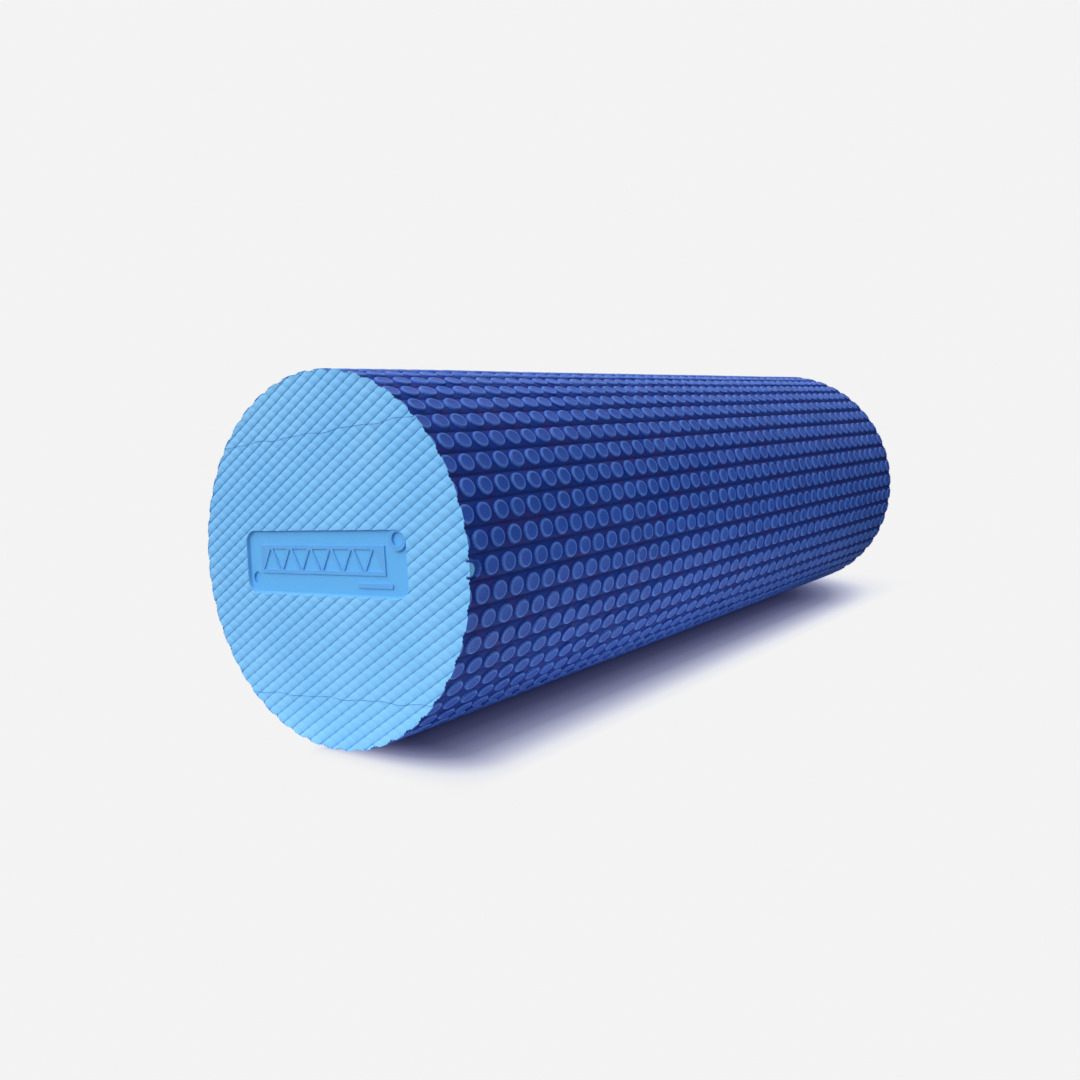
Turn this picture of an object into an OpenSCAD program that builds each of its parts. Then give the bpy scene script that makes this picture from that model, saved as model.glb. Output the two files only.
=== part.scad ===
// Studded foam roller: a solid foam core, glued up from three slabs, in a thin moulded skin.
// Millimetres. The roller lies along Y on the plane Z = 0, and the origin is under its middle.

/* [Roller] */
// Diameter over the tops of the studs
roller_d = 150; // [120:1:180]
// Length from one end face to the other
roller_l = 450; // [300:10:900]

/* [Skin] */
// Rows of studs around the roller, a multiple of 4 so that a groove faces the floor
stud_rows = 48; // [36:4:56]
// Thickness of the skin
skin_t = 0.5; // [0.3:0.1:1]
// Depth of the groove between two rows, below the tops of the studs
groove_depth = 1.8; // [0.8:0.1:2.2]

/* [Core] */
// Height of the upper glue line above the roller's axis
upper_seam_h = 50; // [35:0.5:50]
// Slope of the upper glue line, in degrees
upper_seam_tilt = 8; // [-8:0.5:8]
// Depth of the lower glue line below the roller's axis
lower_seam_h = 55; // [35:0.5:56]
// Slope of the lower glue line, in degrees
lower_seam_tilt = 6.5; // [-8:0.5:8]
// Thickness of a glue film
glue_t = 0.3; // [0.1:0.1:0.6]

/* [End plate] */
// Width of the smooth plate pressed into each end face
plate_w = 91; // [40:1:95]
// Height of the plate
plate_h = 24.5; // [12:0.5:30]
// Radius of the plate's corners
plate_corner_r = 4.5; // [2:0.5:6]
// Depth of the plate below the end face
plate_depth = 1.4; // [0.5:0.1:3]
// Sideways offset of the plate's middle from the axis
plate_x = -1.7; // [-5:0.1:5]
// Upward offset of the plate's middle from the axis
plate_z = -2; // [-5:0.1:5]
// Turn of the plate on the end face, in degrees
plate_turn = 5; // [-10:0.5:10]

/* [Hidden] */

crown_r = roller_d / 2;
row_angle = 360 / stud_rows;
// The roller rests on the crowns at both sides of the lowest groove, which are a chord of
// groove_depth away from the groove's middle, so its axis is a little lower than crown_r.
rest_angle = 2 * asin(groove_depth / (2 * crown_r));
axis_h = crown_r * cos(rest_angle);
// How far a cutting shape runs past what it cuts
over = 1;

skin_colour = [0.13, 0.2, 0.55];
core_colour = [0.45, 0.72, 0.97];
glue_colour = [0.2, 0.38, 0.66];

// The roller's cross-section, seen from its -Y end: rows of studs, taken over their tops,
// with a round groove between neighbours. inset moves the whole outline inwards.
module fluted_outline(inset = 0) {
    difference() {
        circle(r = crown_r - inset);
        for (row = [0 : stud_rows - 1])
            rotate(row * row_angle)
                translate([crown_r, 0])
                    circle(r = groove_depth + inset);
    }
}

// Stretches a cross-section over the roller's length.
module along_roller() {
    translate([0, 0, axis_h])
        rotate([90, 0, 0])
            linear_extrude(height = roller_l, center = true)
                children();
}

// Everything above a sloping line that crosses the axis's upright at height h.
module above_line(h, tilt) {
    translate([0, h])
        rotate(tilt)
            translate([-roller_d, 0])
                square([2 * roller_d, 2 * roller_d]);
}

// A band of the cross-section, as thick as a glue film, along a seam at height h.
module glue_band(h, tilt) {
    difference() {
        above_line(h - glue_t / 2, tilt);
        above_line(h + glue_t / 2, tilt);
    }
}

// Outline of the smooth plate: a rectangle with round corners.
module plate_outline() {
    corner_x = plate_w / 2 - plate_corner_r;
    corner_y = plate_h / 2 - plate_corner_r;
    square([plate_w, 2 * corner_y], center = true);
    square([2 * corner_x, plate_h], center = true);
    for (sx = [-1, 1], sy = [-1, 1])
        translate([sx * corner_x, sy * corner_y])
            circle(r = plate_corner_r);
}

// The shallow recess of the plate in the -Y end face.
module plate_recess() {
    translate([0, plate_depth - roller_l / 2, axis_h])
        rotate([90, 0, 0])
            linear_extrude(height = plate_depth + over)
                translate([plate_x, plate_z])
                    rotate(plate_turn)
                        plate_outline();
}

module core_top_slab() {
    color(core_colour)
        along_roller()
            intersection() {
                fluted_outline(skin_t);
                above_line(upper_seam_h + glue_t / 2, upper_seam_tilt);
            }
}

// The thick middle slab carries the plate at both ends.
module core_middle_slab() {
    color(core_colour)
        difference() {
            along_roller()
                difference() {
                    intersection() {
                        fluted_outline(skin_t);
                        above_line(-lower_seam_h + glue_t / 2, lower_seam_tilt);
                    }
                    above_line(upper_seam_h - glue_t / 2, upper_seam_tilt);
                }
            plate_recess();
            rotate([0, 0, 180])
                plate_recess();
        }
}

module core_bottom_slab() {
    color(core_colour)
        along_roller()
            difference() {
                fluted_outline(skin_t);
                above_line(-lower_seam_h - glue_t / 2, lower_seam_tilt);
            }
}

module upper_glue_film() {
    color(glue_colour)
        along_roller()
            intersection() {
                fluted_outline(skin_t);
                glue_band(upper_seam_h, upper_seam_tilt);
            }
}

module lower_glue_film() {
    color(glue_colour)
        along_roller()
            intersection() {
                fluted_outline(skin_t);
                glue_band(-lower_seam_h, lower_seam_tilt);
            }
}

// The dark skin follows the fluted outline all round and is open at both ends.
module stud_skin() {
    color(skin_colour)
        along_roller()
            difference() {
                fluted_outline();
                fluted_outline(skin_t);
            }
}

core_top_slab();
core_middle_slab();
core_bottom_slab();
upper_glue_film();
lower_glue_film();
stud_skin();
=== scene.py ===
"""A studded foam roller: a light-blue core glued up from three slabs, with diamond-embossed ends,
in a dark-blue skin with staggered rows of round studs. Metres, in the CAD's own frame."""
import math

import bmesh
import bpy
import numpy as np
from mathutils import Matrix, Vector


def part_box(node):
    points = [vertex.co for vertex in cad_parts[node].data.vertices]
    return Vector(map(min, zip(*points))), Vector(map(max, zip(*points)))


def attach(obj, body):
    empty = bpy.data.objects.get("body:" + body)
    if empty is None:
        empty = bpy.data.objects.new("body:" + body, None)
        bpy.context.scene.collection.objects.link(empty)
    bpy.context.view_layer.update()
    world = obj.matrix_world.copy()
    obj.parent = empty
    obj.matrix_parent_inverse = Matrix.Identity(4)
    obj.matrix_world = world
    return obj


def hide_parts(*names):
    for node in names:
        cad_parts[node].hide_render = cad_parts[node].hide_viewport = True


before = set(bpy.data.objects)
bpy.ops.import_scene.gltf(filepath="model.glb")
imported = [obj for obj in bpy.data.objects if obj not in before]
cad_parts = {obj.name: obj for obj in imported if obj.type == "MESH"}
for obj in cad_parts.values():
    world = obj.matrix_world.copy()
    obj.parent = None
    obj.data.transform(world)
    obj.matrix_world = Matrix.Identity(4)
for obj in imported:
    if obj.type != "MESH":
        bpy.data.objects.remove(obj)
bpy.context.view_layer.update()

MM = 0.001

# ---------------------------------------------------------------------------------- frame
LOW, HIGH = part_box("stud_skin")
FRONT_Y = LOW[1]
REAR_Y = HIGH[1]
CROWN_R = (HIGH[0] - LOW[0]) / 2
AXIS_Z = (HIGH[2] + LOW[2]) / 2

# ----------------------------------------------------------------------------------- skin
ROWS = 48
STUD_PITCH = 10 * MM
ROW_ANGLE = 2 * math.pi / ROWS
# The first row's lower edge lies this far round from the right-hand side
ROW_START = math.radians(-1.2)
HALF_ROW = CROWN_R * ROW_ANGLE / 2
# Depths below the tops of the studs
VALLEY_DEPTH = 1.25 * MM
GROOVE_DEPTH = 1.85 * MM
# Half width, around the roller, of a row's flat ground
GROUND_HALF = 3.96 * MM
# The foot of the groove between two rows: how far from the row's middle, and how deep
GROOVE_FOOT = 4.5 * MM
GROOVE_FOOT_DEPTH = GROOVE_DEPTH - 0.12 * MM
STUD_SIDES = 16
# A stud is a little narrower around the roller than along it
STUD_NARROW = 0.94
# A stud's profile from its foot to the middle of its dished top: radius, depth
STUD_PROFILE = [
    (4.16 * MM, 1.25 * MM),
    (4.05 * MM, 1.06 * MM),
    (3.93 * MM, 0.52 * MM),
    (3.74 * MM, 0.16 * MM),
    (3.42 * MM, 0.00 * MM),
    (3.06 * MM, 0.02 * MM),
    (2.60 * MM, 0.10 * MM),
]
STUD_MIDDLE_DEPTH = 0.15 * MM
# How unevenly the studs came out of the mould, as standard deviations: their depth and their place
STUD_WEAR = 0.05 * MM
STUD_STRAY = 0.04 * MM
# The unevenness of the whole surface, and how far it is sunk to stay inside the crowns
WAVE = 0.05 * MM
WAVE_SUNK = 0.15 * MM
# One cut stud beside the front face is worn through in a ring round a light-blue middle: how far
# in from the face the ring and its middle lie, their radii, and their depths
WORN_ROW = 0
WORN_Y = 2.0 * MM
WORN_R = 4.0 * MM
WORN_DEPTH = 2.3 * MM
WORN_MIDDLE_Y = 0.3 * MM
WORN_MIDDLE_R = 2.5 * MM
WORN_MIDDLE_DEPTH = 0.5 * MM
# The tools that cut it run this far past the surface, inwards and outwards
WORN_SPARE_IN = 2 * MM
WORN_SPARE_OUT = 10 * MM
# The hot press that embosses the ends squeezes the foam out there: by what share it fills the
# ground between the studs and the grooves between the rows at an end, and over what length
SQUEEZE = 0.7
SQUEEZE_GROOVE = 0.5
SQUEEZE_LENGTH = 3.2 * MM
# The skin's solid before the core is cut out of it runs this far past both ends, which cut every
# row's last stud
END_SPARE = STUD_PITCH / 4
# The core's radius away from the ends, and the inside of the skin's solid, which the core cuts away
CORE_R = CROWN_R - 3.4 * MM
SKIN_INSIDE_R = CORE_R - 1.5 * MM
# The skin where an end cuts it: how thick it is, and how far in from the end it stays so
SKIN_EDGE = 0.12 * MM
COLLAR = 1.0 * MM
# Beside an end, the core's outline has this many points. Each is as low as the lowest place of the
# skin's surface within one step of it, read at so many places a step.
RIM_STEPS = ROWS * 40
RIM_FINE = 6
# How far in from an end its first outline is taken, where the surface has no points
RIM_INSET = 0.002 * MM
SKIN_PARTS = ["right", "top", "left", "under"]
# Points of the surface that lie closer than this are one, in radians and along Y
SAME_ANGLE = 2e-6
SAME_Y = 2e-8
# Points this close to a wall of a quarter lie on it, in radians and along Y
ON_WALL_ANGLE = 1e-5
ON_WALL_Y = 1e-7

# ------------------------------------------------------------------------------ end faces
# How far a tool or a blank runs past the cut that it makes or gets, and a small one
TOOL_SPARE = 5 * MM
SMALL_SPARE = 1 * MM
# How thick the press tool and its pad are
PRESS_THICKNESS = 20 * MM
PAD_THICKNESS = 10 * MM
# Half width, lowest and highest point of a box round the roller, which trims it at both ends
TRIM_BOX = (0.1, -0.05, 0.2)
# Directions of the two families of emboss grooves, seen from the end, their pitch and depths
EMBOSS_ANGLES = (math.radians(36.0), math.radians(-26.5))
EMBOSS_PITCH = 4.15 * MM
# Depth across one pitch of each family, with a groove's middle at 0: share of the pitch, depth.
# The first family's grooves are narrow and crisp, the second's are wide and shallow.
EMBOSS_PROFILES = (
    [(0.0, 0.37), (0.055, 0.18), (0.13, 0.05), (0.5, 0.0), (0.87, 0.05), (0.945, 0.18)],
    [(0.0, 0.18), (0.10, 0.12), (0.25, 0.04), (0.5, 0.0), (0.75, 0.04), (0.9, 0.12)],
)

PLATE_W = 91 * MM
PLATE_H = 24.5 * MM
PLATE_CORNER_R = 4.5 * MM
PLATE_DEPTH = 1.4 * MM
PLATE_X = -1.7 * MM
PLATE_Z = -2.0 * MM
PLATE_TURN = math.radians(5)
# How much wider the plate's recess is at the face than at its floor, on each side
PLATE_DRAFT = 0.8 * MM

# A raised lattice band on the plate, a plain bar below it, its round ring and its dimple
LATTICE_W = 72 * MM
LATTICE_H = 11.5 * MM
LATTICE_BAYS = 6
LATTICE_LINE = 1.5 * MM
LATTICE_X = -2.0 * MM
LATTICE_Z = 1.2 * MM
MOTIF_RAISE = 0.48 * MM
BAR_W = 19 * MM
BAR_H = 1.9 * MM
BAR_X = 28 * MM
BAR_Z = -8.4 * MM
RING = (41.3 * MM, 9.4 * MM)
RING_R = 4.5 * MM
RING_INSIDE_R = 2.7 * MM
RING_RAISE = 0.9 * MM
DIMPLE = (-41.6 * MM, -6.7 * MM)
DIMPLE_R = 2.6 * MM
DIMPLE_DEPTH = 0.8 * MM

# A seam's waviness: the steps it is drawn in, its height, and its two waves, as radians a metre
SEAM_STEP = 2 * MM
SEAM_WAVE = 0.35 * MM
SEAM_WAVES = (230, 410)
GLUE_T = 0.24 * MM
# A glue film ends this far below the tops of the diamonds
GLUE_SUNK = 0.3 * MM

# --------------------------------------------------------------------------------- colours
SKIN_TOP_A = (37, 80, 178)
SKIN_TOP_B = (46, 89, 192)
# Paler rims: partly wear, partly a painted highlight
SKIN_RIM = (86, 131, 218)
SKIN_WALL = (36, 75, 168)
# Valley colours, darker than the tops: painted shade between the studs
SKIN_VALLEY = (20, 58, 152)
SKIN_VALLEY_WARM = (40, 50, 140)
SKIN_DUST = (132, 166, 226)
CORE_A = (116, 192, 250)
CORE_B = (124, 198, 253)
# Darker emboss grooves: painted shade
CORE_GROOVE_SHADE = (80, 158, 230)
CORE_PLATE = (93, 180, 245)
CORE_SCUFF = (150, 206, 250)
GLUE_A = (56, 112, 188)
GLUE_B = (76, 136, 210)
BACKDROP = (243, 243, 243)
# Where each colour of the skin fades in, by distance from a stud's middle: from, to
RIM_INSIDE = (2.6 * MM, 3.15 * MM)
RIM_OUTSIDE = (4.02 * MM, 3.8 * MM)
WALL_FROM = (3.84 * MM, 4.0 * MM)
VALLEY_FROM = (4.0 * MM, 4.2 * MM)
# Where the groove between two rows darkens with painted shade, by distance from the row's middle
GROOVE_FROM = (4.1 * MM, 4.8 * MM)
# Where the core's colour shows in the worn stud, by distance from its middle, and on the skin's cut
# edge, by distance from the end
WORN_FROM = (2.75 * MM, 2.55 * MM)
CUT_FROM = (0.12 * MM, 0.02 * MM)
# Where the core takes the painted shade of its grooves and the colour of the plate, by distance from
# the end
CORE_GROOVE_SHADE_FROM = (0.12 * MM, 0.5 * MM)
CORE_PLATE_FROM = (0.85 * MM, 1.25 * MM)

# --------------------------------------------------------------------------- camera, lights
CAMERA_AZIMUTH = 36.574
CAMERA_ELEVATION = 1.626
CAMERA_LENS = 34.92
# The photograph's framing: the lens looked almost level, and the frame reaches further down than up
CAMERA_SHIFT_Y = -0.114
# From the middle of the front face
CAMERA_PLACE = (311.9 * MM, -278.6 * MM, 67.3 * MM)
WORLD_AMBIENT = 0.08
# Direction towards each soft light, how narrow it is, and its strength
WORLD_LIGHTS = [
    ((-0.45, -0.9, 0.55), 2.5, 2.7),
    ((0.1, 0.1, 1.0), 3, 0.8),
    ((-0.55, 0.85, 0.1), 3, 1.05),
]
FLOOR_HALF = 60
# The camera sees the floor evenly lit. What it casts on the roller comes from a pool beside it, and
# fades with distance, and towards the front: from where to where along Y, and between which shares.
FLOOR_LIGHT = 1.3
FLOOR_POOL = 340 * MM
FLOOR_POOL_MIDDLE = (190 * MM, -110 * MM, 0.0)
FLOOR_POOL_FRONT = (FRONT_Y - 100 * MM, FRONT_Y + 30 * MM, 0.22, 1.0)
# Colours of the shadow painted on the floor under the roller, by how deep in it: 0 in the open and 1
# at the line it rests on
SHADE = [
    (0.0, (243, 243, 243)),
    (0.1, (229, 231, 239)),
    (0.23, (180, 183, 207)),
    (0.36, (128, 132, 163)),
    (0.49, (92, 95, 130)),
    (0.62, (60, 63, 96)),
    (0.8, (26, 30, 62)),
]
SHADE_HALF = 78 * MM
# Where the shade fades in and out along Y, and by how much it narrows and slants on the left
SHADE_FRONT = (FRONT_Y - 10 * MM, FRONT_Y + 30 * MM)
SHADE_REAR = (REAR_Y + 60 * MM, REAR_Y - 70 * MM)
SHADE_SLANT = 0.9


# -------------------------------------------------------------------------------- helpers
def new_object(name, points, faces):
    """A mesh object of the given points, in metres, and faces."""
    mesh = bpy.data.meshes.new(name)
    mesh.from_pydata([tuple(p) for p in points], [], faces)
    mesh.update()
    made = bpy.data.objects.new(name, mesh)
    bpy.context.scene.collection.objects.link(made)
    return made


def outwards(made):
    """Turns every face of a closed mesh outwards."""
    bm = bmesh.new()
    bm.from_mesh(made.data)
    bmesh.ops.recalc_face_normals(bm, faces=bm.faces)
    bm.to_mesh(made.data)
    bm.free()
    return made


def combine(made, other, operation, keep_other=False):
    """Cuts, joins or crosses two closed meshes, and leaves the result in the first."""
    step = made.modifiers.new("combine", "BOOLEAN")
    step.operation = operation
    step.solver = "MANIFOLD"
    step.object = other
    apply_modifiers(made)
    if not keep_other:
        bpy.data.objects.remove(other)
    return made


def apply_modifiers(made):
    """Replaces the mesh by what its modifiers make of it."""
    shown = made.evaluated_get(bpy.context.evaluated_depsgraph_get())
    mesh = bpy.data.meshes.new_from_object(shown)
    made.modifiers.clear()
    old, made.data = made.data, mesh
    bpy.data.meshes.remove(old)


def copied(made, name):
    """A separate copy of a mesh object."""
    twin = bpy.data.objects.new(name, made.data.copy())
    bpy.context.scene.collection.objects.link(twin)
    return twin


def turned_to_rear(made, name):
    """A copy turned half round the upright through the roller's middle."""
    twin = copied(made, name)
    twin.data.transform(Matrix.Rotation(math.pi, 4, "Z"))
    return twin


def prism(name, outline, y0, y1):
    """A closed solid with an (x, z) outline, from y0 to y1."""
    n = len(outline)
    points = [(x, y0, z) for x, z in outline] + [(x, y1, z) for x, z in outline]
    faces = [[i, (i + 1) % n, n + (i + 1) % n, n + i] for i in range(n)]
    faces += [list(range(n)), list(range(n, 2 * n))]
    return outwards(new_object(name, points, faces))


def loft(name, sections):
    """A closed solid through sections of equally many (x, z) points, each at its own y."""
    n = len(sections[0][1])
    points = [(x, y, z) for y, outline in sections for x, z in outline]
    faces = []
    for k in range(len(sections) - 1):
        a = k * n
        b = a + n
        faces += [[a + i, a + (i + 1) % n, b + (i + 1) % n, b + i] for i in range(n)]
    faces += [list(range(n)), list(range(len(points) - n, len(points)))]
    return outwards(new_object(name, points, faces))


def rectangle(x0, x1, z0, z1):
    """Outline of a rectangle, from its lower left corner."""
    return [(x0, z0), (x1, z0), (x1, z1), (x0, z1)]


def smooth_by_angle(made, degrees):
    """Smooth shading, with edges sharper than the angle kept sharp."""
    made.data.shade_smooth()
    made.data.set_sharp_from_angle(angle=math.radians(degrees))


# ----------------------------------------------------------------------------------- skin
def ground_columns():
    """(s, depth) across one row between its studs, from groove to groove."""
    half = [(0, VALLEY_DEPTH), (GROUND_HALF / 2, VALLEY_DEPTH), (GROUND_HALF, VALLEY_DEPTH)]
    half += [(GROOVE_FOOT, GROOVE_FOOT_DEPTH), (HALF_ROW, GROOVE_DEPTH)]
    return [(-s, d) for s, d in reversed(half[1:])] + half


def stud_cell():
    """Points (s, v, depth) and faces of one pitch of a row, with a stud in its middle."""
    quarter = STUD_PITCH / 4
    edge = GROUND_HALF
    ring = [(edge, 0), (edge, quarter), (edge, 2 * quarter), (edge / 2, 2 * quarter)]
    ring += [(0, 2 * quarter)] + [(-s, v) for s, v in reversed(ring[1:])] + [(-edge, 0)]
    ring += [(s, -v) for s, v in reversed(ring[1:-1])]
    points = [(s, v, VALLEY_DEPTH) for s, v in ring]
    faces = []
    n = STUD_SIDES
    turns = [2 * math.pi * k / n for k in range(n)]
    for radius, depth in STUD_PROFILE:
        start = len(points)
        points += [(STUD_NARROW * radius * math.cos(t), radius * math.sin(t), depth) for t in turns]
        faces += [[start - n + k, start - n + (k + 1) % n, start + (k + 1) % n, start + k]
                  for k in range(n)]
    last = len(points) - n
    points.append((0, 0, STUD_MIDDLE_DEPTH))
    faces += [[last + k, last + (k + 1) % n, len(points) - 1] for k in range(n)]
    for side in (-1, 1):
        start = len(points)
        for s, depth in ground_columns()[-3:]:
            points += [(side * s, v * quarter, depth) for v in (-2, -1, 0, 1, 2)]
        for column in (0, 1):
            a = start + 5 * column
            strip = [[a + k, a + k + 1, a + k + 6, a + k + 5] for k in range(4)]
            faces += [f[::-1] for f in strip] if side > 0 else strip
    return np.array(points), faces


def half_cell(sign):
    """The half of a stud cell on one side of the stud's middle: sign 1 is towards the rear."""
    points, faces = stud_cell()
    return points, [f for f in faces if all(sign * points[i][1] > -SAME_Y for i in f)]


def part_rows(part):
    """The rows of one quarter of the skin."""
    count = ROWS // len(SKIN_PARTS)
    return range(part * count, (part + 1) * count)


def row_cells(row):
    """(middle along Y, which half or 0 for a whole stud) of each cell of a row."""
    count = round((REAR_Y - FRONT_Y) / STUD_PITCH)
    start = FRONT_Y - END_SPARE
    if row % 2 == 0:
        cells = [(start + (k + 0.5) * STUD_PITCH, 0) for k in range(count)]
        return cells + [(REAR_Y + END_SPARE, -1)]
    return [(start, 1)] + [(start + (k + 1) * STUD_PITCH, 0) for k in range(count)]


def row_angle(row):
    """Where a row's middle lies round the roller."""
    return ROW_START + (row + 0.5) * ROW_ANGLE


def skin_point(angle, y, radius):
    """A place on or under the skin, by its turn round the roller's axis."""
    return (radius * math.cos(angle), y, AXIS_Z + radius * math.sin(angle))


def surface_wave(angle, y):
    """The small unevenness of a moulded foam surface, as a change of radius."""
    return WAVE * (
        np.sin(3 * angle + 21 * y) + np.sin(5 * angle - 34 * y + 1.3) + np.sin(47 * y + 2 * angle)
    ) - WAVE_SUNK


def skin_surface(part):
    """(angle, y, depth, radius) of the points of a quarter's outer surface, and its faces."""
    rng = np.random.default_rng(70 + part)
    cells = {0: stud_cell(), 1: half_cell(1), -1: half_cell(-1)}
    blocks = []
    faces = []
    total = 0
    for row in part_rows(part):
        for middle, half in row_cells(row):
            cell, cell_faces = cells[half]
            s, v, depth = cell[:, 0].copy(), cell[:, 1].copy(), cell[:, 2].copy()
            lift = np.clip(1 - depth / VALLEY_DEPTH, 0, 1)
            depth += lift * abs(rng.normal(0, STUD_WEAR))
            # A half stud stays in its place, because it ends on the wall that closes the skin
            s += (lift > 0) * rng.normal(0, STUD_STRAY) * (half == 0)
            v += (lift > 0) * rng.normal(0, STUD_STRAY) * (half == 0)
            from_end = np.minimum(middle + v - FRONT_Y, REAR_Y - middle - v)
            squeezed = np.clip(1 - from_end / SQUEEZE_LENGTH, 0, 1) ** 2
            share = np.interp(abs(s), [GROUND_HALF, HALF_ROW], [SQUEEZE, SQUEEZE_GROOVE])
            depth *= 1 - share * squeezed
            angle = row_angle(row) + s / CROWN_R
            blocks.append(np.column_stack([angle, middle + v, depth]))
            faces += [[total + i for i in f] for f in cell_faces]
            total += len(cell)
    table = np.vstack(blocks)
    keys = np.round(table[:, :2] / (SAME_ANGLE, SAME_Y)).astype(np.int64)
    _, first, where = np.unique(keys, axis=0, return_index=True, return_inverse=True)
    where = where.ravel()
    faces = [[int(where[i]) for i in f] for f in faces]
    used = np.unique([i for f in faces for i in f])
    renumber = np.full(len(first), -1)
    renumber[used] = np.arange(len(used))
    table = table[first][used]
    faces = [[int(renumber[i]) for i in f] for f in faces]
    radius = CROWN_R - table[:, 2] + surface_wave(table[:, 0], table[:, 1])
    return np.column_stack([table, radius]), faces


def skin_part(part, surface):
    """A quarter of the skin as a closed solid, before the core is cut out of it."""
    table, faces = surface
    points = [skin_point(a, y, r) for a, y, _, r in table]
    return close_skin(SKIN_PARTS[part], part_rows(part), table, points, list(faces))


def close_skin(name, rows, table, points, faces):
    """Adds the two end walls, the two lengthwise walls and the inside to a quarter's surface."""
    low_angle = ROW_START + rows[0] * ROW_ANGLE
    high_angle = low_angle + len(rows) * ROW_ANGLE
    y_low = FRONT_Y - END_SPARE
    y_high = REAR_Y + END_SPARE
    inner = {}
    for y in (y_low, y_high):
        for k in range(len(rows) + 1):
            inner[y, k] = len(points)
            points.append(skin_point(low_angle + k * ROW_ANGLE, y, SKIN_INSIDE_R))
    for y in (y_low, y_high):
        at_end = np.nonzero(abs(table[:, 1] - y) < ON_WALL_Y)[0]
        at_end = at_end[np.argsort(table[at_end, 0])]
        for k in range(len(rows)):
            a0 = low_angle + k * ROW_ANGLE - ON_WALL_ANGLE
            a1 = low_angle + (k + 1) * ROW_ANGLE + ON_WALL_ANGLE
            line = [int(i) for i in at_end if a0 <= table[i, 0] <= a1]
            faces.append(line + [inner[y, k + 1], inner[y, k]])
    for angle, k in ((low_angle, 0), (high_angle, len(rows))):
        side = np.nonzero(abs(table[:, 0] - angle) < ON_WALL_ANGLE)[0]
        line = [int(i) for i in side[np.argsort(table[side, 1])]]
        faces.append(line + [inner[y_high, k], inner[y_low, k]])
    for k in range(len(rows)):
        faces.append([inner[y_low, k], inner[y_low, k + 1], inner[y_high, k + 1], inner[y_high, k]])
    return outwards(new_object("stud_skin_" + name, points, faces))


def radial_bar(y, radius, low, high):
    """A round bar along the worn row's radius, between two depths."""
    angle = row_angle(WORN_ROW)
    bar = prism("bar", circle(0, 0, radius), low, high)
    bar.data.transform(Matrix.Rotation(math.pi / 2 + angle, 4, "Z"))
    bar.data.transform(Matrix.Rotation(math.pi / 2, 4, "X"))
    bar.data.transform(Matrix.Translation(skin_point(angle, FRONT_Y + y, CROWN_R)))
    return outwards(bar)


def worn_hole():
    """The ring-shaped hole in the worn stud."""
    hole = radial_bar(WORN_Y, WORN_R, -WORN_SPARE_OUT, WORN_DEPTH)
    below = WORN_DEPTH + WORN_SPARE_IN
    middle = radial_bar(WORN_MIDDLE_Y, WORN_MIDDLE_R, WORN_MIDDLE_DEPTH, below)
    return combine(hole, middle, "DIFFERENCE")


# ----------------------------------------------------------------------------------- core
def end_outline(surfaces, y_end):
    """The core's outline beside an end: just inside the skin's surface there."""
    cuts = []
    for table, faces in surfaces:
        edges = {tuple(sorted((f[k - 1], f[k]))) for f in faces for k in range(len(f))}
        edges = np.array(sorted(edges))
        y = table[:, 1] - y_end
        crossing = edges[y[edges[:, 0]] * y[edges[:, 1]] < 0]
        a, b = crossing[:, 0], crossing[:, 1]
        share = (y[a] / (y[a] - y[b]))[:, None]
        cuts.append(table[a][:, (0, 3)] * (1 - share) + table[b][:, (0, 3)] * share)
    cuts = np.vstack(cuts)
    cuts = cuts[np.argsort(cuts[:, 0])]
    count = RIM_STEPS * RIM_FINE
    angles = ROW_START + np.arange(count) * 2 * math.pi / count
    outer = np.interp(angles, cuts[:, 0], cuts[:, 1], period=2 * math.pi)
    beside = [np.roll(outer, k) for k in range(-RIM_FINE, RIM_FINE + 1)]
    inner = np.min(beside, axis=0) - SKIN_EDGE
    rim = zip(angles[::RIM_FINE], inner[::RIM_FINE])
    return [(r * math.cos(a), AXIS_Z + r * math.sin(a)) for a, r in rim]


def core_blank(surfaces):
    """The whole core as one solid with plain ends, a little longer than the roller."""
    depths = [RIM_INSET, COLLAR / 2, COLLAR]
    front = [(FRONT_Y + d, end_outline(surfaces, FRONT_Y + d)) for d in depths]
    rear = [(REAR_Y - d, end_outline(surfaces, REAR_Y - d)) for d in reversed(depths)]
    angles = [math.atan2(z - AXIS_Z, x) for x, z in front[0][1]]
    middle = [(CORE_R * math.cos(a), AXIS_Z + CORE_R * math.sin(a)) for a in angles]
    sections = [(FRONT_Y - TOOL_SPARE, front[0][1])] + front
    sections += [(FRONT_Y + COLLAR, middle), (REAR_Y - COLLAR, middle)]
    return loft("core", sections + rear + [(REAR_Y + TOOL_SPARE, rear[-1][1])])


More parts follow.
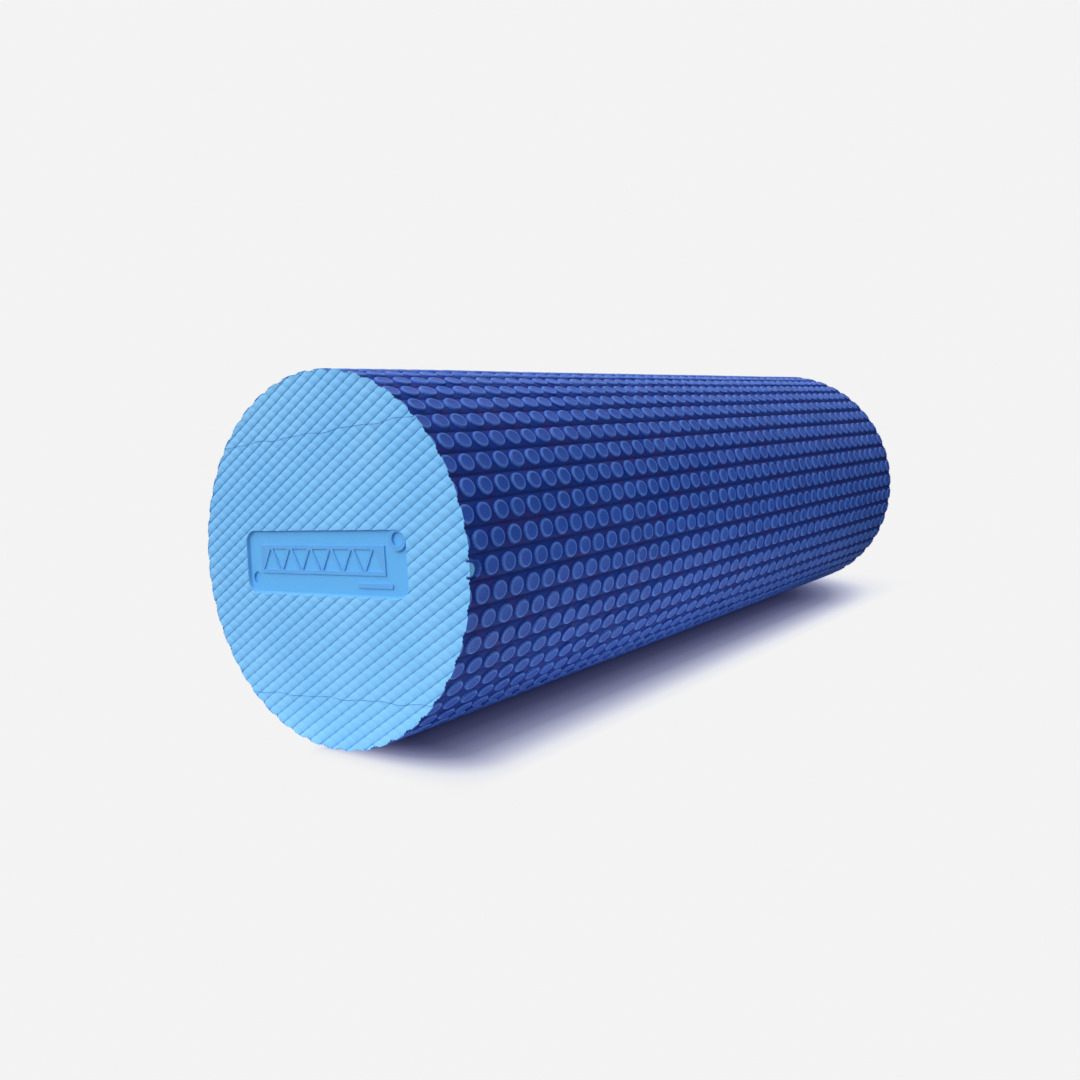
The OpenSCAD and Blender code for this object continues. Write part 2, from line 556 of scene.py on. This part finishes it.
def press_tool():
    """The tool that embosses the front face: a solid in front of it with the diamonds' relief."""
    reach = CROWN_R + 2 * EMBOSS_PITCH
    periods = math.ceil(reach / EMBOSS_PITCH)
    first, second = [[(k + share, depth * MM) for k in range(-periods, periods)
                      for share, depth in profile] for profile in EMBOSS_PROFILES]
    (sin_p, cos_p), (sin_q, cos_q) = [(math.sin(a), math.cos(a)) for a in EMBOSS_ANGLES]
    # p and q are the distances from the axis across each family of grooves
    turn = cos_p * sin_q - sin_p * cos_q
    points = []
    for p_count, p_depth in first:
        for q_count, q_depth in second:
            p = p_count * EMBOSS_PITCH
            q = q_count * EMBOSS_PITCH
            x = (p * cos_q - q * cos_p) / turn
            z = (p * sin_q - q * sin_p) / turn
            points.append((x, FRONT_Y + p_depth + q_depth, AXIS_Z + z))
    n = len(first)
    grid = [[i * n + j, i * n + j + 1, (i + 1) * n + j + 1, (i + 1) * n + j]
            for i in range(n - 1) for j in range(n - 1)]
    rim = list(range(n)) + [i * n + n - 1 for i in range(1, n)]
    rim += [(n - 1) * n + j for j in range(n - 2, -1, -1)] + [i * n for i in range(n - 2, 0, -1)]
    top = len(points)
    points += [(points[i][0], FRONT_Y - PRESS_THICKNESS, points[i][2]) for i in rim]
    m = len(rim)
    walls = [[rim[k], rim[(k + 1) % m], top + (k + 1) % m, top + k] for k in range(m)]
    back = list(range(top, top + m))
    return outwards(new_object("press_tool", points, grid + walls + [back]))


def on_plate(x, z):
    """A place on the plate, from its middle along its own width and height, as (x, z)."""
    c = math.cos(PLATE_TURN)
    s = math.sin(PLATE_TURN)
    return (PLATE_X + x * c - z * s, AXIS_Z + PLATE_Z + x * s + z * c)


def round_rectangle(w, h, r, sides=8):
    """Outline of a rectangle with round corners, about its own middle."""
    outline = []
    for k, (sx, sz) in enumerate([(1, 1), (-1, 1), (-1, -1), (1, -1)]):
        for i in range(sides + 1):
            t = math.pi / 2 * (k + i / sides)
            outline.append((sx * (w / 2 - r) + r * math.cos(t), sz * (h / 2 - r) + r * math.sin(t)))
    return outline


def circle(x, z, r, sides=28):
    turns = [2 * math.pi * k / sides for k in range(sides)]
    return [(x + r * math.cos(t), z + r * math.sin(t)) for t in turns]


def plate_tool():
    """The smooth pad of the press tool, which leaves the plate's recess with sloping walls."""
    floor = round_rectangle(PLATE_W, PLATE_H, PLATE_CORNER_R)
    mouth = round_rectangle(PLATE_W + 2 * PLATE_DRAFT, PLATE_H + 2 * PLATE_DRAFT,
                            PLATE_CORNER_R + PLATE_DRAFT)
    floor = [on_plate(x, z) for x, z in floor]
    mouth = [on_plate(x, z) for x, z in mouth]
    return loft("plate_tool", [
        (FRONT_Y - PAD_THICKNESS, mouth),
        (FRONT_Y, mouth),
        (FRONT_Y + PLATE_DEPTH, floor),
    ])


# ----------------------------------------------------------------------------- plate motif
def pit(outline, height):
    """A hole in the press tool's pad, which leaves foam standing up from the plate's floor."""
    return prism("pit", outline, FRONT_Y + PLATE_DEPTH - height, FRONT_Y + PLATE_DEPTH + SMALL_SPARE)


def through(name, outline):
    """A solid that reaches well through the motif, to cut an opening in it."""
    return prism(name, outline, FRONT_Y - TOOL_SPARE, FRONT_Y + TOOL_SPARE)


def bay(k, up):
    """Outline of one triangular opening in the lattice band, point up or point down."""
    pitch = LATTICE_W / LATTICE_BAYS
    reach = pitch / 2 - 0.95 * LATTICE_LINE
    low, high = LATTICE_Z - LATTICE_H / 2 + LATTICE_LINE, LATTICE_Z + LATTICE_H / 2 - LATTICE_LINE
    x = LATTICE_X - LATTICE_W / 2 + pitch * (k + (0.5 if up else 1.0))
    base, tip = (low, high) if up else (high, low)
    return [on_plate(x - reach, base), on_plate(x + reach, base), on_plate(x, tip)]


def motif_pits():
    """A lattice band, a short plain bar and a round ring: decoration that says nothing."""
    corners = rectangle(-LATTICE_W / 2, LATTICE_W / 2, -LATTICE_H / 2, LATTICE_H / 2)
    band = pit([on_plate(LATTICE_X + x, LATTICE_Z + z) for x, z in corners], MOTIF_RAISE)
    for k in range(LATTICE_BAYS):
        for up in (True, False):
            if up or k < LATTICE_BAYS - 1:
                combine(band, through("opening", bay(k, up)), "DIFFERENCE")
    outline = round_rectangle(BAR_W, BAR_H, 0.45 * BAR_H)
    bar = pit([on_plate(BAR_X + x, BAR_Z + z) for x, z in outline], MOTIF_RAISE)
    ring = pit(circle(*on_plate(*RING), RING_R), RING_RAISE)
    inside = circle(*on_plate(*RING), RING_INSIDE_R)
    combine(ring, through("inside", inside), "DIFFERENCE")
    return [band, bar, ring]


def press_tools():
    """The press tools of the front and rear faces."""
    pad = plate_tool()
    for hole in motif_pits():
        combine(pad, hole, "DIFFERENCE")
    dimple = circle(*on_plate(*DIMPLE), DIMPLE_R)
    combine(pad, prism("dimple", dimple, FRONT_Y, FRONT_Y + PLATE_DEPTH + DIMPLE_DEPTH), "UNION")
    front = combine(press_tool(), pad, "UNION")
    return front, turned_to_rear(front, "rear_tool")


# ----------------------------------------------------------------------------------- seams
def seam_line(film):
    """Points (x, z) along a glue line, from left to right past the roller, gently wavy."""
    low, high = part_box(film)
    slope = (high[2] - low[2]) / (high[0] - low[0])
    middle_x = (low[0] + high[0]) / 2
    middle_z = (low[2] + high[2]) / 2
    reach = CROWN_R + TOOL_SPARE
    long_wave, short_wave = SEAM_WAVES
    line = []
    for x in np.linspace(-reach, reach, int(2 * reach / SEAM_STEP) + 1):
        wave = math.sin(long_wave * x + 90 * middle_z)
        wave += 0.6 * math.sin(short_wave * x + 40 * middle_z)
        line.append((x, middle_z + slope * (x - middle_x) + SEAM_WAVE * wave))
    return line


def shifted(line, by):
    return [(x, z + by) for x, z in line]


def between(name, lower, upper, sunk):
    """A solid between two lines across the roller, which ends this far below the end faces."""
    return prism(name, lower + upper[::-1], FRONT_Y + sunk, REAR_Y - sunk)


def core_pieces(core):
    """The three slabs and two glue films of the core, by the names of their CAD nodes."""
    far = CROWN_R + 2 * TOOL_SPARE
    upper = seam_line("upper_glue_film")
    lower = seam_line("lower_glue_film")
    above = [(x, AXIS_Z + far) for x, _ in upper]
    below = [(x, AXIS_Z - far) for x, _ in upper]
    g = GLUE_T / 2
    spans = {
        "core_top_slab": (shifted(upper, g), above, -SMALL_SPARE),
        "core_middle_slab": (shifted(lower, g), shifted(upper, -g), -SMALL_SPARE),
        "core_bottom_slab": (below, shifted(lower, -g), -SMALL_SPARE),
        "upper_glue_film": (shifted(upper, -g), shifted(upper, g), GLUE_SUNK),
        "lower_glue_film": (shifted(lower, -g), shifted(lower, g), GLUE_SUNK),
    }
    pieces = {}
    for node, (low_line, high_line, sunk) in spans.items():
        piece = copied(core, node + "_foam")
        pieces[node] = combine(piece, between("span", low_line, high_line, sunk), "INTERSECT")
    return pieces


# ------------------------------------------------------------------------------- materials
class Nodes:
    """The node tree of a material or a world, with short calls for the nodes used here."""

    def __init__(self, owner):
        owner.use_nodes = True
        self.owner = owner
        self.tree = owner.node_tree
        self.place = self.add("ShaderNodeTexCoord", {}).outputs["Object"]

    def add(self, kind, inputs, **settings):
        node = self.tree.nodes.new(kind)
        for key, value in settings.items():
            setattr(node, key, value)
        for key, value in inputs.items():
            self.put(node.inputs[key], value)
        return node

    def put(self, socket, value):
        if isinstance(value, bpy.types.NodeSocket):
            self.tree.links.new(value, socket)
        else:
            socket.default_value = value

    def math(self, operation, a, b=0.0):
        return self.add("ShaderNodeMath", {0: a, 1: b}, operation=operation).outputs[0]

    def spread(self, value, low, high, to_low=0.0, to_high=1.0):
        """value moved from low..high to to_low..to_high, eased at both ends."""
        node = self.add("ShaderNodeMapRange", {"Value": value, "From Min": low, "From Max": high,
                                               "To Min": to_low, "To Max": to_high})
        node.interpolation_type = "SMOOTHSTEP"
        return node.outputs["Result"]

    def noise(self, size, detail=2.0, place=None):
        """Smooth noise, about 0.5, with lumps about size across."""
        node = self.add("ShaderNodeTexNoise", {"Vector": place or self.place, "Scale": 1 / size,
                                               "Detail": detail})
        return node.outputs["Fac"]

    def cells(self, size):
        """Distance to the nearest of points about size apart, as a share of size."""
        node = self.add("ShaderNodeTexVoronoi", {"Vector": self.place, "Scale": 1 / size})
        return node.outputs["Distance"]

    def mix(self, share, a, b, blend="MIX"):
        node = self.add("ShaderNodeMix", {}, data_type="RGBA", blend_type=blend)
        self.put(node.inputs["Factor"], share)
        self.put(node.inputs["A"], a)
        self.put(node.inputs["B"], b)
        return node.outputs["Result"]

    def set(self, **inputs):
        """Sets inputs of a material's own shader, by their names."""
        shader = self.tree.nodes["Principled BSDF"]
        for key, value in inputs.items():
            self.put(shader.inputs[key.replace("_", " ")], value)

    def distance(self, place):
        """Distance from a fixed place."""
        node = self.add("ShaderNodeVectorMath", {0: self.place, 1: place}, operation="DISTANCE")
        return node.outputs["Value"]

    def camera_sees(self):
        """1 for what the camera sees directly, and 0 for the light that a surface casts."""
        return self.add("ShaderNodeLightPath", {}).outputs["Is Camera Ray"]

    def grey(self, value):
        return self.add("ShaderNodeCombineColor", {0: value, 1: value, 2: value}).outputs[0]

    def bump(self, height, distance, strength=1.0, over=None):
        inputs = {"Height": height, "Distance": distance, "Strength": strength}
        if over is not None:
            inputs["Normal"] = over
        return self.add("ShaderNodeBump", inputs).outputs["Normal"]

    def from_stud(self):
        """Distances from the nearest stud's middle and, round the roller, from its row's."""
        x, y, z = self.add("ShaderNodeSeparateXYZ", {"Vector": self.place}).outputs
        turn = self.math("ARCTAN2", self.math("SUBTRACT", z, AXIS_Z), x)
        row = self.math("DIVIDE", self.math("SUBTRACT", turn, ROW_START), ROW_ANGLE)
        across = self.math("SUBTRACT", self.math("FRACT", row), 0.5)
        across = self.math("MULTIPLY", across, CROWN_R * ROW_ANGLE)
        odd = self.math("FLOORED_MODULO", self.math("FLOOR", row), 2.0)
        along = self.math("DIVIDE", self.math("SUBTRACT", y, FRONT_Y - END_SPARE), STUD_PITCH)
        along = self.math("ADD", along, self.math("MULTIPLY", odd, 0.5))
        along = self.math("SUBTRACT", self.math("FRACT", along), 0.5)
        along = self.math("MULTIPLY", along, STUD_PITCH)
        wide = self.math("DIVIDE", across, STUD_NARROW)
        squares = self.math("ADD", self.math("MULTIPLY", wide, wide),
                            self.math("MULTIPLY", along, along))
        return self.math("SQRT", squares), self.math("ABSOLUTE", across)

    def from_end(self):
        """Distance from the nearer end of the roller."""
        along = self.add("ShaderNodeSeparateXYZ", {"Vector": self.place}).outputs["Y"]
        return self.math("SUBTRACT", (REAR_Y - FRONT_Y) / 2, self.math("ABSOLUTE", along))


def material_nodes(name):
    return Nodes(bpy.data.materials.new(name))


def linear(r, g, b):
    """A screen colour of 0 to 255 as linear RGBA."""
    parts = [c / 255 for c in (r, g, b)]
    parts = [c / 12.92 if c <= 0.04045 else ((c + 0.055) / 1.055) ** 2.4 for c in parts]
    return (*parts, 1.0)


def skin_material():
    """Dark-blue moulded foam: darker between the studs and in the grooves between rows, which is
    painted shade, paler on the rims, partly wear and partly a painted highlight, and light blue like
    the core in the worn stud's middle and where an end cuts it."""
    m = material_nodes("skin_foam")
    from_stud, across = m.from_stud()
    cloud = m.noise(40 * MM, 3)
    top = m.mix(m.spread(cloud, 0.35, 0.65), linear(*SKIN_TOP_A), linear(*SKIN_TOP_B))
    # The rims are paler: partly wear, partly a painted highlight where their rounded edges catch the
    # light
    rim = m.math("MULTIPLY", m.spread(from_stud, *RIM_INSIDE), m.spread(from_stud, *RIM_OUTSIDE))
    rub_and_highlight = m.math("MULTIPLY", rim, m.spread(m.noise(5 * MM, 3), 0.25, 0.75, 0.45, 0.95))
    colour = m.mix(rub_and_highlight, top, linear(*SKIN_RIM))
    colour = m.mix(m.spread(from_stud, *WALL_FROM), colour, linear(*SKIN_WALL))
    # The valleys between the studs take darker colours: painted shade
    ground = m.mix(m.spread(m.noise(14 * MM, 2), 0.42, 0.66), linear(*SKIN_VALLEY),
                   linear(*SKIN_VALLEY_WARM))
    valley = m.spread(from_stud, *VALLEY_FROM)
    colour = m.mix(valley, colour, ground)
    # The groove between two rows is darkened further: painted shade
    groove_shade = m.spread(across, *GROOVE_FROM, 1.0, 0.72)
    colour = m.mix(valley, colour, m.mix(1.0, colour, m.grey(groove_shade), "MULTIPLY"))
    worn = skin_point(row_angle(WORN_ROW), FRONT_Y + WORN_MIDDLE_Y, CROWN_R)
    bare = m.math("MAXIMUM", m.spread(m.distance(worn), *WORN_FROM),
                  m.spread(m.from_end(), *CUT_FROM))
    colour = m.mix(bare, colour, linear(*CORE_A))
    speckle = m.spread(m.noise(0.55 * MM, 2), 0.3, 0.7, 0.88, 1.1)
    colour = m.mix(1.0, colour, m.grey(speckle), "MULTIPLY")
    dust = m.math("MULTIPLY", m.spread(m.noise(0.4 * MM, 1), 0.66, 0.74),
                  m.spread(m.noise(28 * MM, 2), 0.45, 0.7, 0.0, 0.3))
    colour = m.mix(dust, colour, linear(*SKIN_DUST))
    rough = m.math("ADD", m.spread(m.noise(9 * MM, 3), 0.3, 0.7, 0.46, 0.58),
                   m.math("MULTIPLY", valley, 0.14))
    grain = m.math("ADD", m.noise(0.42 * MM, 3), m.math("MULTIPLY", m.cells(0.7 * MM), 0.5))
    fine = m.bump(grain, 0.05 * MM, 0.5)
    uneven = m.bump(m.noise(3.2 * MM, 2), 0.12 * MM, 0.6, fine)
    m.set(Base_Color=colour, Roughness=rough, Normal=uneven, Specular_IOR_Level=0.18)
    return m.owner


def core_material():
    """Light-blue foam with fine closed cells, darker in its emboss grooves by painted shade, and of
    a deeper blue on the pressed plate.
    """
    m = material_nodes("core_foam")
    cloud = m.noise(38 * MM, 3)
    face = m.mix(m.spread(cloud, 0.35, 0.65), linear(*CORE_A), linear(*CORE_B))
    # The emboss grooves are darkened by their depth below the end: painted shade
    sunk = m.spread(m.from_end(), *CORE_GROOVE_SHADE_FROM)
    face = m.mix(m.math("MULTIPLY", sunk, 0.75), face, linear(*CORE_GROOVE_SHADE))
    plate = m.spread(m.from_end(), *CORE_PLATE_FROM)
    colour = m.mix(plate, face, linear(*CORE_PLATE))
    pores = m.spread(m.cells(0.55 * MM), 0.05, 0.45, 0.9, 1.03)
    colour = m.mix(1.0, colour, m.grey(pores), "MULTIPLY")
    scuff = m.math("MULTIPLY", m.spread(m.noise(17 * MM, 4), 0.55, 0.72),
                   m.spread(m.noise(1.6 * MM, 2), 0.4, 0.65, 0.0, 0.22))
    colour = m.mix(scuff, colour, linear(*CORE_SCUFF))
    rough = m.spread(m.noise(7 * MM, 3), 0.3, 0.7, 0.5, 0.64)
    fine = m.bump(m.math("ADD", m.noise(0.5 * MM, 3), m.cells(0.55 * MM)), 0.06 * MM, 0.6)
    uneven = m.bump(m.noise(4 * MM, 2), 0.08 * MM, 0.5, fine)
    m.set(Base_Color=colour, Roughness=rough, Normal=uneven)
    m.set(Specular_IOR_Level=0.45, Sheen_Weight=0.08, Sheen_Roughness=0.5)
    return m.owner


def glue_material():
    """Dried contact adhesive: darker than the foam, slightly uneven."""
    m = material_nodes("glue")
    colour = m.mix(m.spread(m.noise(2.5 * MM, 3), 0.35, 0.65), linear(*GLUE_A), linear(*GLUE_B))
    uneven = m.bump(m.noise(0.6 * MM, 2), 0.05 * MM, 0.5)
    m.set(Base_Color=colour, Roughness=0.6, Normal=uneven)
    return m.owner


# ---------------------------------------------------------------------------- camera, stage
def add_camera():
    """The camera stands in front of the face on the right, and looks almost level past it."""
    camera = bpy.data.cameras.new("camera")
    camera.sensor_width = 36
    camera.lens = CAMERA_LENS
    camera.shift_y = CAMERA_SHIFT_Y
    made = bpy.data.objects.new("camera", camera)
    bpy.context.scene.collection.objects.link(made)
    azimuth, elevation = [math.radians(a) for a in (CAMERA_AZIMUTH, CAMERA_ELEVATION)]
    forward = Vector((-math.sin(azimuth) * math.cos(elevation),
                      math.cos(azimuth) * math.cos(elevation), -math.sin(elevation)))
    place = Vector((0, FRONT_Y, AXIS_Z)) + Vector(CAMERA_PLACE)
    turn = forward.to_track_quat("-Z", "Y").to_matrix().to_4x4()
    made.matrix_world = Matrix.Translation(place) @ turn
    bpy.context.scene.camera = made


def add_world():
    """Soft studio light from all round, stronger from the front left, from above and from behind."""
    world = bpy.data.worlds.new("studio")
    bpy.context.scene.world = world
    m = Nodes(world)
    way = m.add("ShaderNodeTexCoord", {}).outputs["Generated"]
    total = 0.0
    for direction, sharpness, strength in WORLD_LIGHTS:
        towards = Vector(direction).normalized()
        dot = m.add("ShaderNodeVectorMath", {0: way, 1: towards}, operation="DOT_PRODUCT")
        lobe = m.math("POWER", m.math("MAXIMUM", dot.outputs["Value"], 0.0), sharpness)
        total = m.math("ADD", total, m.math("MULTIPLY", lobe, strength))
    total = m.math("ADD", total, WORLD_AMBIENT)
    light = m.add("ShaderNodeBackground", {"Color": (1.0, 1.0, 1.0, 1.0), "Strength": total})
    seen = m.add("ShaderNodeBackground", {"Color": linear(*BACKDROP)})
    choose = m.add("ShaderNodeMixShader", {0: m.camera_sees(), 1: light.outputs[0],
                                           2: seen.outputs[0]})
    m.put(m.tree.nodes["World Output"].inputs["Surface"], choose.outputs[0])


def add_floor():
    """A plain pale floor, lit through like a light table, with a shadow painted under the roller."""
    corners = rectangle(-FLOOR_HALF, FLOOR_HALF, -FLOOR_HALF, FLOOR_HALF)
    floor = new_object("floor", [(x, y, 0) for x, y in corners], [[0, 1, 2, 3]])
    m = material_nodes("floor")
    x, y, _ = m.add("ShaderNodeSeparateXYZ", {"Vector": m.place}).outputs
    left = m.math("MAXIMUM", m.math("MULTIPLY", x, -1.0), 0.0)
    slant = m.math("MULTIPLY", left, SHADE_SLANT)
    across = m.math("ADD", m.math("ABSOLUTE", x), slant)
    beside = m.math("SUBTRACT", 1.0, m.math("DIVIDE", across, SHADE_HALF))
    front = m.spread(m.math("SUBTRACT", y, slant), *SHADE_FRONT)
    rear = m.spread(y, *SHADE_REAR)
    # The shadow under the roller is painted: how deep in it each place of the floor lies
    painted_shadow = m.math("MULTIPLY", m.math("MAXIMUM", beside, 0.0), m.math("MULTIPLY", front, rear))
    ramp = m.add("ShaderNodeValToRGB", {0: painted_shadow})
    marks = ramp.color_ramp.elements
    for share, _ in SHADE[1:-1]:
        marks.new(share)
    for mark, (share, colour) in zip(marks, SHADE):
        mark.position = share
        mark.color = linear(*colour)
    far = m.math("DIVIDE", m.distance(FLOOR_POOL_MIDDLE), FLOOR_POOL)
    pool = m.math("EXPONENT", m.math("MULTIPLY", m.math("POWER", far, 2.0), -1.0))
    pool = m.math("MULTIPLY", pool, m.spread(y, *FLOOR_POOL_FRONT))
    cast = m.math("MULTIPLY", pool, FLOOR_LIGHT)
    seen = m.camera_sees()
    unseen = m.math("SUBTRACT", 1.0, seen)
    strength = m.math("ADD", seen, m.math("MULTIPLY", cast, unseen))
    glow = m.add("ShaderNodeEmission", {"Color": ramp.outputs["Color"], "Strength": strength})
    m.put(m.tree.nodes["Material Output"].inputs["Surface"], glow.outputs[0])
    m.tree.nodes.remove(m.tree.nodes["Principled BSDF"])
    floor.data.materials.append(m.owner)


# ------------------------------------------------------------------------------------ make
def finish_piece(piece, material, smooth_degrees, node):
    """Gives a piece its material and shading, and lets it stand for its CAD node."""
    piece.data.materials.clear()
    piece.data.materials.append(material)
    smooth_by_angle(piece, smooth_degrees)
    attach(piece, "root")
    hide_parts(node)


def make_roller():
    """The skin's four quarters round the core, then the core pressed and split into its pieces."""
    surfaces = [skin_surface(part) for part in range(len(SKIN_PARTS))]
    core = core_blank(surfaces)
    half, low, high = TRIM_BOX
    trim = prism("trim", rectangle(-half, half, low, high), FRONT_Y, REAR_Y)
    skin_foam = skin_material()
    for part, surface in enumerate(surfaces):
        skin = skin_part(part, surface)
        combine(skin, core, "DIFFERENCE", keep_other=True)
        combine(skin, trim, "INTERSECT", keep_other=True)
        if WORN_ROW in part_rows(part):
            combine(skin, worn_hole(), "DIFFERENCE")
        finish_piece(skin, skin_foam, 50, "stud_skin")
    combine(core, trim, "INTERSECT")
    for tool in press_tools():
        combine(core, tool, "DIFFERENCE")
    combine(core, worn_hole(), "DIFFERENCE")
    core_foam = core_material()
    glue = glue_material()
    for node, piece in core_pieces(core).items():
        if node.endswith("film"):
            finish_piece(piece, glue, 35, node)
        else:
            finish_piece(piece, core_foam, 35, node)
    bpy.data.objects.remove(core)


bpy.context.scene.view_settings.view_transform = "Standard"
add_camera()
add_world()
add_floor()
make_roller()
